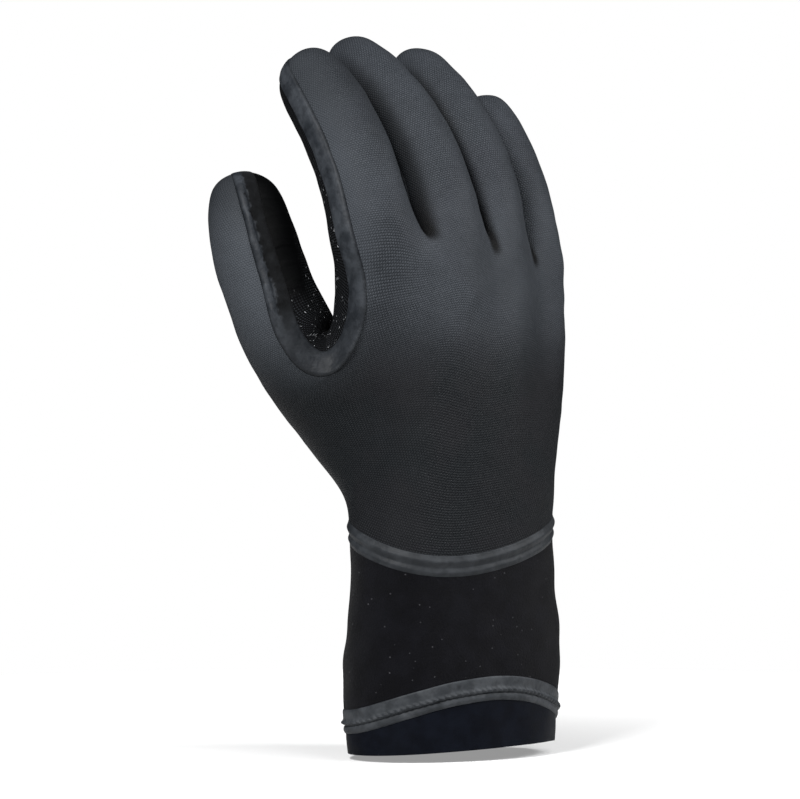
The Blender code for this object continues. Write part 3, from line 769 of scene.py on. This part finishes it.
def wrapped(places, skin_obj, **settings):
    """The nearest points of the skin to an array of places, with any settings of the Shrinkwrap."""
    obj = new_object("ribbon", new_mesh("ribbon", places.reshape(-1, 3), np.zeros((0, 4), int)))
    wrap = obj.modifiers.new("wrap", "SHRINKWRAP")
    wrap.target = skin_obj
    for name, value in settings.items():
        setattr(wrap, name, value)
    nearest = evaluated(obj)[0]
    bpy.data.objects.remove(obj)
    return nearest.reshape(places.shape)


def wrapped_normals(places, skin_obj):
    """The way out of the skin at each place, from its nearest point to one a little above the skin."""
    rises = (0.0, 1.0 * MM)
    low, high = [wrapped(places, skin_obj, wrap_mode="ABOVE_SURFACE", offset=rise) for rise in rises]
    return unit(high - low)


class Value:
    """A shader socket that takes part in arithmetic: each operator adds its Math node."""

    def __init__(self, tree, socket):
        self.tree, self.socket = tree, socket

    def math(self, operation, *others):
        return self.tree.node("ShaderNodeMath", {"operation": operation}, [self, *others])

    def __add__(self, other):
        return self.math("ADD", other)

    def __sub__(self, other):
        return self.math("SUBTRACT", other)

    def __rsub__(self, other):
        return self.tree.node("ShaderNodeMath", {"operation": "SUBTRACT"}, [other, self])

    def __mul__(self, other):
        return self.math("MULTIPLY", other)

    def __abs__(self):
        return self.math("ABSOLUTE")

    __radd__, __rmul__ = __add__, __mul__

    def ripple(self, length):
        """Waves of that length, from -1 to 1."""
        return (self * (2 * math.pi / length)).math("COSINE")

    def between(self, low, high):
        """0 below low, 1 above high, smooth in between."""
        inputs = {"Value": self, "From Min": low, "From Max": high}
        return self.tree.node("ShaderNodeMapRange", {"interpolation_type": "SMOOTHSTEP"}, inputs)


class Tree:
    """The nodes of one material, with the shader that ends them."""

    def __init__(self, name, **constants):
        self.material = bpy.data.materials.new(name)
        self.material.use_nodes = True
        self.nodes, self.links = self.material.node_tree.nodes, self.material.node_tree.links
        self.shader = self.nodes["Principled BSDF"]
        for socket, value in constants.items():
            self.shader.inputs[socket.replace("_", " ")].default_value = value

    def node(self, kind, settings, inputs, output=0):
        """Adds a node: its settings first, then the values or links of its sockets."""
        node = self.nodes.new(kind)
        for name, value in settings.items():
            setattr(node, name, value)
        named = inputs.items() if isinstance(inputs, dict) else enumerate(inputs)
        for key, value in named:
            if isinstance(value, Value):
                self.links.new(value.socket, node.inputs[key])
            else:
                node.inputs[key].default_value = value
        return Value(self, node.outputs[output])

    def object_place(self):
        return self.node("ShaderNodeTexCoord", {}, {}, "Object")

    def uv(self):
        """The piece's UV in metres: across and along a panel, along and across a band."""
        place = self.node("ShaderNodeUVMap", {"uv_map": "UVMap"}, {})
        return self.split(place)[:2]

    def split(self, vector):
        first = self.node("ShaderNodeSeparateXYZ", {}, [vector])
        return [Value(self, output) for output in first.socket.node.outputs]

    def joined(self, x, y):
        return self.node("ShaderNodeCombineXYZ", {}, [x, y, 0.0])

    def zone(self, place, name):
        """1 inside a zone and 0 outside: the product of its soft steps."""
        axes = dict(zip("xyz", self.split(place)))
        steps = [axes[axis].between(low * MM, high * MM) for axis, low, high in ZONES[name]]
        return math.prod(steps[1:], start=steps[0])

    def noise(self, place, size, detail=2.0, roughness=0.5):
        """Soft noise from 0 to 1 with grains of that size in metres."""
        inputs = {"Vector": place, "Scale": 1.0 / size, "Detail": detail, "Roughness": roughness}
        return self.node("ShaderNodeTexNoise", {}, inputs, "Fac")

    def cells(self, place, size):
        """Distance from the middle of the nearest cell, for cells of about that size."""
        return self.node("ShaderNodeTexVoronoi", {}, {"Vector": place, "Scale": 1.0 / size}, "Distance")

    def mix(self, share, low, high):
        """A colour between two colours."""
        low, high = [end if isinstance(end, Value) else (*end, 1.0) for end in (low, high)]
        return self.node("ShaderNodeMix", {"data_type": "RGBA"}, {0: share, 6: low, 7: high}, 2)

    def feed(self, socket, value):
        self.links.new(value.socket, self.shader.inputs[socket])

    def bump(self, height, depth):
        """Surface relief: height from 0 to 1 stands for that depth in metres."""
        inputs = {"Height": height * depth, "Distance": 1.0, "Strength": 1.0}
        self.feed("Normal", self.node("ShaderNodeBump", {}, inputs))


def mesh_skin():
    """Charcoal neoprene skin with rows of tiny embossed dots, staggered from row to row. Its colour holds
    painted shade below the upper hand and thumb, at the tips of thumb and index finger, and in the gaps and
    creases, and painted light over the knuckles and thumb."""
    tree = Tree("mesh_skin", Specular_IOR_Level=0.08)
    place = tree.object_place()
    across, along = tree.uv()
    pitch, row = 1.1 * MM, 0.75 * MM
    dots = across.ripple(pitch) * along.ripple(2 * row) * 0.32 + along.ripple(row) * 0.18
    dots = (dots + 0.5).between(0.18, 0.85)
    cloud = tree.noise(place, 22 * MM, 3.0)
    grain = tree.noise(place, 0.9 * MM)
    wear = tree.noise(place, 3.5 * MM, 3.0)
    tone = cloud.between(0.30, 0.72)
    colour = tree.mix(tone, (0.0092, 0.0107, 0.0130), (0.0146, 0.0167, 0.0200))
    colour = tree.mix(dots * (wear * 0.6 + 0.34), colour, (0.0440, 0.0488, 0.0565))
    # Painted shade: below the upper hand and off the thumb the colour goes most of the way to this
    # near-black
    loose = tree.mix(cloud.between(0.35, 0.65), (0.0009, 0.0016, 0.0020), (0.0020, 0.0018, 0.0022))
    out_of_painted_shade = tree.zone(place, "upper_hand").math("MAXIMUM", tree.zone(place, "thumb"))
    colour = tree.mix(out_of_painted_shade, tree.mix(0.80, colour, loose), colour)
    # Painted light over the knuckles and thumb, painted shade at the tips of thumb and index finger
    for zone, (share, painted_colour) in PAINTED_LIGHT_AND_SHADE.items():
        colour = tree.mix(tree.zone(place, zone) * share, colour, painted_colour)
    # Painted shade in the gaps and creases between the fingers
    shade = tree.node("ShaderNodeAttribute", {"attribute_name": "shade"}, {}, "Fac")
    tree.feed("Base Color", tree.mix(shade.between(0.0, 0.9), colour, (0.0008, 0.0009, 0.0011)))
    tree.feed("Roughness", 0.50 + tone * 0.05 + grain * 0.12 - dots * 0.05)
    tree.bump(dots * 0.7 + grain * 0.3, 0.28 * MM)
    return tree.material


def grip_knit():
    """Black ribbed knit with glossy beads of grip rubber, painted pale round the thumb's web as glints. On
    the thumb it is smooth, with a few creases across."""
    tree = Tree("grip_knit", Specular_IOR_Level=0.06, Coat_Roughness=0.2)
    place = tree.object_place()
    across, along = tree.uv()
    knitted = tree.zone(place, "beside_thumb").math("MAXIMUM", tree.zone(place, "below_thumb"))
    smooth = 1.0 - knitted
    ribs = across.ripple(1.25 * MM) * 0.5 + 0.5
    loops = along.ripple(1.05 * MM) * 0.5 + 0.5
    knit = (ribs * loops).between(0.10, 0.60) * knitted
    spots = 1.0 - tree.cells(tree.joined(across, along * 0.5), 1.3 * MM).between(0.10, 0.25)
    chosen = tree.noise(place, 3.4 * MM, 1.0).between(0.50, 0.55)
    grip = spots * chosen * knitted
    folds = tree.noise(tree.joined(across * 0.25, along), 6 * MM).between(0.45, 0.62) * smooth
    dark = tree.mix(knit, (0.0004, 0.0005, 0.0006), (0.0150, 0.0164, 0.0190))
    # Painted glints: round the thumb's web the grip beads are pale
    drop_colour_and_painted_glints = tree.mix(tree.zone(place, "round_web"), (0.010, 0.011, 0.012), (0.42, 0.43, 0.45))
    tree.feed("Base Color", tree.mix(grip, dark, drop_colour_and_painted_glints))
    tree.feed("Roughness", 0.80 - grip * 0.60 - smooth * 0.22)
    tree.feed("Coat Weight", grip)
    tree.bump(knit * 0.6 + grip + folds * 0.3, 0.55 * MM)
    return tree.material


def seam_rubber(name, marks=None):
    """Satin grey liquid rubber, brushed on by hand: soft lumps and a slightly cloudy grey.

    marks are given for the edge band, which gets painted shade in parts."""
    tree = Tree(name, Specular_IOR_Level=0.13)
    place = tree.object_place()
    cloud = tree.noise(place, 7 * MM, 3.0)
    lumps = tree.noise(place, 2.6 * MM)
    colour = tree.mix(cloud.between(0.38, 0.62), *RUBBER_GREYS[name])
    colour = tree.mix(lumps.between(0.60, 0.30) * 0.35, colour, (0.0040, 0.0048, 0.0060))
    rough = 0.50 + lumps * 0.16
    if marks:
        colour, rough = edge_shades(tree, lumps, colour, rough, marks)
    tree.feed("Base Color", colour)
    tree.feed("Roughness", rough)
    tree.bump(lumps * 0.6 + cloud * 0.4, 0.60 * MM)
    return tree.material


def edge_shades(tree, lumps, colour, rough, marks):
    """Paints shade on the edge band: a contact shadow along both edges, and shade from the end of the welt
    to past the web. Beside the welt, up to an uneven line, it is near-black and matt."""
    thumb_tip, web, _ = marks
    along, across = tree.uv()
    welt_end = web - WELT_STOP
    before_end = 1.0 - along.between(welt_end - 2 * MM, welt_end + 14 * MM)
    # Painted contact shadow along both edges of the band
    edges = across.between(0.9 * MM, 0.0).math("MAXIMUM", across.between(4.3 * MM, 5.4 * MM))
    colour = tree.mix(edges * 0.7, colour, (0.0030, 0.0035, 0.0042))
    strip = along.between(thumb_tip - 6 * MM, thumb_tip + 8 * MM) * before_end
    strip = strip * (across + (lumps - 0.5) * (2.4 * MM)).between(*DARK_STRIP)
    colour = tree.mix(strip * (0.75 + lumps * 0.35), colour, (0.0010, 0.0011, 0.0013))
    # Painted shade from the end of the welt to past the web
    past_end = (1.0 - before_end) * along.between(welt_end + 59 * MM, welt_end + 34 * MM)
    colour = tree.mix(past_end * 0.5, colour, (0.0030, 0.0036, 0.0044))
    return colour, rough + strip * 0.36


def plush():
    """Deep black plush: short fibres, soft clouds of nap and a few specks of lint."""
    tree = Tree("plush", Specular_IOR_Level=0.05, Sheen_Weight=0.02, Sheen_Roughness=0.6)
    place = tree.object_place()
    fibres = tree.noise(place, 0.7 * MM, 3.0, 0.7)
    nap = tree.noise(place, 7 * MM).between(0.35, 0.7)
    lint = 1.0 - tree.cells(place, 3.4 * MM).between(0.06, 0.10)
    colour = tree.mix(fibres * 0.6 + nap * 0.4, (0.0006, 0.0006, 0.0010), (0.0030, 0.0031, 0.0046))
    tree.feed("Base Color", tree.mix(lint * fibres, colour, (0.06, 0.06, 0.065)))
    tree.feed("Roughness", 0.82 + fibres * 0.15)
    tree.bump(fibres, 0.4 * MM)
    return tree.material


def smooth_skin():
    """Near-black smooth-skin neoprene with a bluish cast and faint handling marks."""
    tree = Tree("smooth_skin", Specular_IOR_Level=0.05)
    place = tree.object_place()
    marks = tree.noise(place, 5 * MM, 3.0)
    pores = tree.noise(place, 0.6 * MM)
    colour = tree.mix(marks.between(0.3, 0.7), (0.0008, 0.0013, 0.0030), (0.0018, 0.0027, 0.0054))
    tree.feed("Base Color", colour)
    tree.feed("Roughness", 0.50 + marks * 0.18)
    tree.bump(pores * 0.4 + marks * 0.6, 0.15 * MM)
    return tree.material


def lining():
    """Dark grey jersey on the inside of the neoprene and cut foam at its edges."""
    tree = Tree("lining", Specular_IOR_Level=0.2)
    across, along = tree.uv()
    wales = (across * (math.pi / (1.1 * MM))).math("SINE")
    courses = (along * (math.pi / (0.9 * MM))).math("SINE")
    knit = abs(wales * courses)
    tree.feed("Base Color", tree.mix(knit, (0.010, 0.011, 0.012), (0.028, 0.029, 0.031)))
    tree.feed("Roughness", 0.9 - knit * 0.1)
    tree.bump(knit, 0.15 * MM)
    return tree.material


def pale_floor():
    """Pale floor that glows a little more away from the glove, where less lamp light reaches it."""
    tree = Tree("pale_floor", Specular_IOR_Level=0.1, Emission_Strength=1.0)
    place = tree.object_place()
    cloud = tree.noise(place, 0.4)
    far = tree.node("ShaderNodeVectorMath", {"operation": "LENGTH"}, [place], "Value").between(0.02, 0.32)
    tree.feed("Base Color", tree.mix(cloud, (0.50, 0.50, 0.50), (0.53, 0.53, 0.53)))
    tree.feed("Emission Color", tree.mix(far, (0.30, 0.30, 0.30), (0.80, 0.80, 0.80)))
    tree.feed("Roughness", 0.8 + cloud * 0.1)
    return tree.material


def soft_field(shape, reach, seed, wrap=False):
    """Even random numbers blurred over reach cells along and across, scaled to about -1 to 1."""
    field = np.random.default_rng(seed).normal(size=shape)
    field = blurred(field, wrap, reach[0], 3)
    field = blurred(field.T, False, reach[1], 3).T
    return field / np.abs(field).max()


def hump(value, middle, reach):
    """A bell: 1 at the middle and about a third at the reach."""
    return np.exp(-((value - middle) / reach) ** 2)


def ridges(share, table):
    """Sum of bells across a band, each as high as its rise."""
    return sum(rise * hump(share, middle, reach) for rise, middle, reach in table)


def strip_section(share, power):
    """1 along the middle of a band and 0 at its edges, which are squarer with a higher power."""
    return (1 - np.abs(share) ** power).clip(0) ** 0.5


def even_half(half):
    """The same half width all along a band."""
    return lambda along: np.full(along.shape, half)


def edge_half(marks):
    """Half the edge band's width: widest round the web, slim beyond the index finger's tip."""
    _, web, index_tip = marks

    def half(along):
        uneven = soft_field((len(along), 3), (5, 1), 31)[:, 1] * EDGE_UNEVEN
        wide = EDGE_HALF + WEB_EXTRA * hump(along, web, WEB_REACH) + uneven
        return wide + (SLIM_HALF - wide) * smooth_step((along - index_tip + 12 * MM) / (22 * MM))

    return half


def edge_profile(marks):
    """Height of the seam rubber over the panels' joint: a flat rounded strip, thin at the fingertips.
    Round the thumb its back edge is a thick welt that ends in a bulb, beside a lumpy strip."""
    thumb_tip, web, index_tip = marks
    welt_end = web - WELT_STOP

    def height(along, share, feet):
        at_tip = np.maximum(hump(along, thumb_tip, TIP_REACH), hump(along, index_tip, TIP_REACH))
        flat = 1 - 0.75 * at_tip
        flat = flat * (1 - 0.8 * smooth_step((along - index_tip) / (15 * MM)))
        on_thumb = smooth_step((along - thumb_tip - 2 * MM) / (12 * MM))
        on_thumb = on_thumb * (1 - smooth_step((along - welt_end) / (3 * MM)))
        body = EDGE_RISE * strip_section(share, 2.6) * (1 - 0.6 * on_thumb)
        body = body + ridges(share, EDGE_RIDGES) * (1 - on_thumb)
        wander = soft_field((feet.shape[0], 3), (7, 1), 23)[:, 1:2]
        bow = strip_section((share - 0.60) / 0.40, 2)
        welt = (WELT_RISE + WELT_WANDER * wander) * bow * on_thumb
        bulb = BULB_RISE * hump(along, welt_end, 2.4 * MM) * hump(share, 0.55, 0.30)
        past_end = 0.5 * hump(along, welt_end + 8 * MM, 10 * MM)
        lumpy = np.maximum(on_thumb, past_end) * hump(share, -0.45, 0.45)
        lumps = soft_field(feet.shape[:2], (3, 2), 11) * (LUMP_RISE + THUMB_LUMP_RISE * lumpy)
        return (body + welt + bulb + lumps * (1 - share ** 4).clip(0)).clip(0.05 * MM) * flat

    return height


def wrist_profile(along, share, feet):
    """A broad upper ridge, a groove and a thin lower ridge, a little uneven as brushed rubber is."""
    lumps = 0.16 * MM * soft_field(feet.shape[:2], (6, 1), 5, True) * (1 - share ** 2).clip(0)
    return (WRIST_RISE * strip_section(share, 6) + ridges(share, WRIST_RIDGES) + lumps).clip(0.03 * MM)


def hem_profile(along, share, feet):
    """From the top: a flat strip, a rope of slanting stitches, a groove, and a thin lower strip.

    The rope's height follows a sine of how far along the stitch lies, slanted by its share."""
    slant = (along / STITCH + share * 1.6) * 2 * math.pi
    rope = hump(share, -0.08, 0.17) * (0.72 + 0.34 * np.sin(slant)) * MM
    lumps = 0.12 * MM * soft_field(feet.shape[:2], (9, 2), 17, True) * (1 - share ** 2).clip(0)
    return (HEM_RISE * strip_section(share, 8) + rope + ridges(share, HEM_RIDGES) + lumps).clip(0.02 * MM)


def seam_marks(skin):
    """How far along the edge seam the thumb's tip, the web and the index finger's tip lie."""
    seam, _ = skin.seam([BACK], [PALM])
    run, height = run_length(seam, 0), seam[:, 2]
    thumb_tip = np.argmax(np.where(seam[:, 0] < THUMB_SIDE, height, 0.0))
    after = (run > run[thumb_tip]) & (run < run[thumb_tip] + TIP_TO_WEB)
    web = np.argmin(np.where(after, height, 1.0))
    after = (run > run[web]) & (run < run[web] + WEB_TO_TIP)
    index_tip = np.argmax(np.where(after, height, 0.0))
    return run[thumb_tip], run[web], run[index_tip]


def make_bands(skin, marks):
    """The bands by node. Each is over the seam between two groups of panels."""
    skin_obj = new_object("skin_to_wrap", new_mesh("skin_to_wrap", skin.places, skin.quads))
    back, top = np.array([0.0, -1.0, 0.0]), np.array([0.0, 0.0, 1.0])
    # Name, groups of panels, way of the positive side, half width, profile, points across, step along
    bands = {
        "edge_seam": (
            "edge_rubber", ([BACK], [PALM]), back, edge_half(marks), edge_profile(marks), 25, 0.7 * MM),
        "wrist_seam": (
            "wrist_rubber", ([BACK, PALM], [CUFF]), top, even_half(WRIST_HALF), wrist_profile, 25, 0.7 * MM),
        "cuff_seam": (
            "stitched_rubber", ([CUFF], [HEM]), top, even_half(HEM_HALF), hem_profile, 41, 0.3 * MM),
    }
    pieces = {}
    for node, (name, sides, *shape) in bands.items():
        pieces[node] = band_piece(name, skin_obj, *skin.seam(*sides), *shape)
    bpy.data.objects.remove(skin_obj)
    return pieces


def main():
    skin = Skin()
    shape_skin(skin)
    pieces = {name: panel_piece(skin, label, NEOPRENE) for label, name in enumerate(PANELS)}
    marks = seam_marks(skin)
    pieces.update(make_bands(skin, marks))
    slots = {
        "back_panel": ("mesh_skin", mesh_skin()),
        "palm_panel": ("grip_knit", grip_knit()),
        "edge_seam": ("liquid_rubber", seam_rubber("liquid_rubber", marks)),
        "wrist_seam": ("wrist_rubber", seam_rubber("wrist_rubber")),
        "cuff": ("plush", plush()),
        "cuff_seam": ("stitched_rubber", seam_rubber("stitched_rubber")),
        "cuff_hem": ("smooth_skin", smooth_skin()),
    }
    inside = lining()
    for node, (slot, material) in slots.items():
        piece = pieces[node]
        piece.data.materials.append(material)
        if node in PANELS:
            piece.data.materials.append(inside)
        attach(piece, "root")
        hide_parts(node)

    place_floor()
    light_world()
    for name, settings in LAMPS.items():
        lamp(name, *settings)
    place_camera()


def lamp(name, azimuth, rise, distance, size, power):
    """A soft lamp round the glove's middle, aimed at it. Azimuth 0 is in front of the back of the hand."""
    data = bpy.data.lights.new(name, "AREA")
    data.shape = "RECTANGLE"
    data.size, data.size_y = size
    data.energy = power
    obj = new_object(name, data)
    turn, lift = math.radians(azimuth), math.radians(rise)
    aim = Vector((0.0, 0.0, LAMP_AIM))
    away = Vector((math.sin(turn) * math.cos(lift), -math.cos(turn) * math.cos(lift), math.sin(lift)))
    obj.location = aim + away * distance
    obj.rotation_euler = away.to_track_quat("Z", "Y").to_euler()


def place_floor():
    """A round pale floor: a fan of quads, each from the middle over two steps of the rim."""
    turn = np.linspace(0.0, 2 * math.pi, FLOOR_SIDES, endpoint=False)
    rim = FLOOR_RADIUS * np.stack([np.cos(turn), np.sin(turn)], axis=1)
    places = np.vstack([np.zeros((1, 2)), rim])
    places = np.column_stack([places, np.full(len(places), FLOOR_HEIGHT)])
    first = 1 + 2 * np.arange(FLOOR_SIDES // 2)
    last = np.where(first + 2 > FLOOR_SIDES, 1, first + 2)
    fan = np.stack([np.zeros_like(first), first, first + 1, last], axis=1)
    floor = new_object("floor", new_mesh("floor", places, fan))
    floor.data.materials.append(pale_floor())


def light_world():
    """A world that is white to the camera and dim as light."""
    world = bpy.data.worlds.new("studio")
    bpy.context.scene.world = world
    world.use_nodes = True
    nodes, links = world.node_tree.nodes, world.node_tree.links
    seen, dim = nodes["Background"], nodes.new("ShaderNodeBackground")
    seen.inputs["Color"].default_value = (1.0, 1.0, 1.0, 1.0)
    seen.inputs["Strength"].default_value = 1.0
    dim.inputs["Color"].default_value = (0.88, 0.94, 1.0, 1.0)
    dim.inputs["Strength"].default_value = WORLD_LIGHT
    path, mix = nodes.new("ShaderNodeLightPath"), nodes.new("ShaderNodeMixShader")
    links.new(path.outputs["Is Camera Ray"], mix.inputs[0])
    links.new(dim.outputs[0], mix.inputs[1])
    links.new(seen.outputs[0], mix.inputs[2])
    links.new(mix.outputs[0], nodes["World Output"].inputs[0])


def place_camera():
    """A level camera that looks at the glove's middle from CAMERA_AZIMUTH, towards the thumb's side."""
    right = np.array([math.cos(CAMERA_AZIMUTH), math.sin(CAMERA_AZIMUTH), 0.0])
    away = np.array([math.sin(CAMERA_AZIMUTH), -math.cos(CAMERA_AZIMUTH), 0.0])
    aim = right * AIM_SIDE + np.array([0.0, 0.0, AIM_HEIGHT])
    data = bpy.data.cameras.new("camera")
    data.lens = CAMERA_LENS
    camera = new_object("camera", data)
    camera.location = aim + away * CAMERA_DISTANCE
    camera.rotation_euler = Vector(-away).to_track_quat("-Z", "Y").to_euler()
    bpy.context.scene.camera = camera
    bpy.context.scene.view_settings.view_transform = "Standard"


main()
